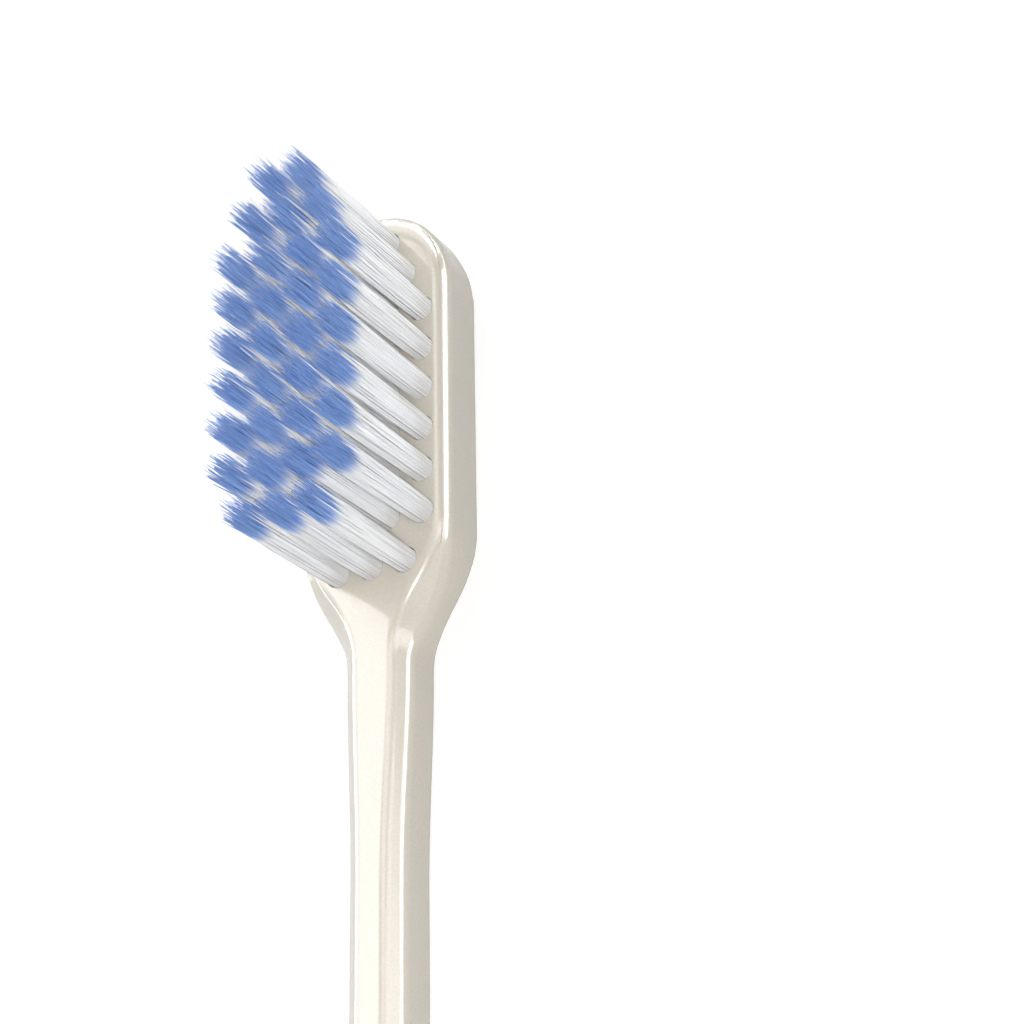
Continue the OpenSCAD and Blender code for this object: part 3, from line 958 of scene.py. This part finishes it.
# %% Lay the floor and fill the world
def level_by_ray(tree, straight, in_gloss, as_light):
    """One level for what the camera sees straight, one in reflections, and one as light on the brush."""
    path = add_node(tree, "ShaderNodeLightPath").outputs
    gloss_step = add_node(tree, "ShaderNodeMath", {
        0: path["Is Glossy Ray"], 1: in_gloss - as_light, 2: as_light,
    }, operation="MULTIPLY_ADD")
    return add_node(tree, "ShaderNodeMath", {
        0: path["Is Camera Ray"], 1: straight - as_light, 2: gloss_step,
    }, operation="MULTIPLY_ADD")


paper, tree = new_material("white_paper_floor")
paper_white = add_node(tree, "ShaderNodeBsdfDiffuse", {"Color": linear("#cfcfcf")})
paper_glow = add_node(tree, "ShaderNodeEmission", {
    "Strength": level_by_ray(tree, straight=0.48, in_gloss=0.1, as_light=0),
})
paper_both = add_node(tree, "ShaderNodeAddShader", {0: paper_white, 1: paper_glow})
add_node(tree, "ShaderNodeOutputMaterial", {"Surface": paper_both})

half_floor = 2
floor_corners = [(x * half_floor, y * half_floor, 0) for x, y in ((-1, -1), (1, -1), (1, 1), (-1, 1))]
floor_mesh = bpy.data.meshes.new("paper_floor")
floor_mesh.from_pydata(floor_corners, [], [(0, 1, 2, 3)])
floor_mesh.materials.append(paper)
floor = bpy.data.objects.new("paper_floor", floor_mesh)
scene.collection.objects.link(floor)

world = bpy.data.worlds.new("white_studio")
world.use_nodes = True
world.node_tree.nodes.clear()
tree = world.node_tree
world_light = add_node(tree, "ShaderNodeBackground", {
    "Strength": level_by_ray(tree, straight=1, in_gloss=0.6, as_light=0.22),
})
add_node(tree, "ShaderNodeOutputWorld", {"Surface": world_light})
scene.world = world
print("floor:", 2 * half_floor, "m wide")

# %% [markdown]
# ## Soft lamps and cards
# Four lamps light the brush. The key hangs up and to the left: the bristles shade the face at
# their feet from it, and the polished face of the neck mirrors it. One lights the round tip from
# behind. A small one stands close to the camera, so it reaches into every gap that the camera
# sees. A low one fills the side that is turned away from the camera.
#
# A glossy moulding also needs something to reflect. In a studio, strips and cards stand round it
# just outside the picture, and their reflections draw the bright lines and bands on the slanted
# edges. The ones here show only in gloss, and the brush takes no other light from them.

# %% Hang the lamps round the head
head_middle = Vector((0, 75, 4)) * MM


def hang_lamp(name, direction, distance, width, height, radiance, only_in_gloss=False, over=head_middle):
    """A flat soft lamp that faces a place on the brush. Its radiance is a share of paper white."""
    lamp = bpy.data.lights.new(name, "AREA")
    lamp.shape = "RECTANGLE"
    lamp.size, lamp.size_y = width, height
    lamp.energy = radiance * math.pi * width * height
    lamp_object = bpy.data.objects.new(name, lamp)
    away = Vector(direction).normalized()
    lamp_object.matrix_world = (
        Matrix.Translation(over + away * distance) @ away.to_track_quat("Z", "Y").to_matrix().to_4x4()
    )
    lamp_object.visible_camera = False
    lamp_object.visible_diffuse = not only_in_gloss
    scene.collection.objects.link(lamp_object)
    print(name, "gives", round(lamp.energy, 2), "W")


hang_lamp("soft_key", (-0.48, 0.28, 0.83), 0.7, 0.38, 0.38, 3.4)
hang_lamp("back_light", (-0.05, 0.85, 0.5), 0.7, 0.6, 0.3, 1.7)
hang_lamp("front_softbox", (0.473, -0.428, 0.781), 0.25, 0.04, 0.04, 85)
# The side strip draws the line on the edge of the head, and the back strip that on the round
# tip. The card above brightens the faces that look up.
hang_lamp("low_side_strip", (0.92, 0.33, 0.14), 0.6, 0.42, 0.16, 11, only_in_gloss=True)
hang_lamp("low_back_strip", (0, 0.98, 0.2), 0.6, 0.8, 0.26, 9, only_in_gloss=True)
hang_lamp("upper_card", (0.17, 0.41, 0.9), 0.6, 0.5, 0.25, 2.0, only_in_gloss=True)
# The fill is a plain lamp again. The card in front of the key is wider, and gives it a soft border.
hang_lamp("side_fill", (-0.95, 0.25, 0.09), 0.6, 0.5, 0.1, 5)
hang_lamp("key_card", (-0.48, 0.28, 0.83), 0.69, 0.5, 0.5, 0.6, only_in_gloss=True)

# %% Stand the cards beside the neck and on the floor
neck_middle = Vector((0, 45, 5)) * MM
hang_lamp("neck_card", (0.847, 0.134, 0.515), 0.6, 0.2, 0.46, 3.0, only_in_gloss=True, over=neck_middle)
hang_lamp("far_left_card", (-0.87, 0.4, 0.3), 0.6, 0.3, 0.36, 3.5, only_in_gloss=True, over=neck_middle)
# Two cards lie flat on the floor and shine upwards at the sides of the brush.
flat_on_floor = (0, 0, -1)
right_of_head = Vector((75, 118, 0.3)) * MM
hang_lamp("right_card", flat_on_floor, 0, 0.1, 0.07, 8, only_in_gloss=True, over=right_of_head)
left_of_neck = Vector((-26, 40, 0.3)) * MM
hang_lamp("left_card", flat_on_floor, 0, 0.04, 0.16, 0.3, only_in_gloss=True, over=left_of_neck)
scene.view_settings.view_transform = "Standard"
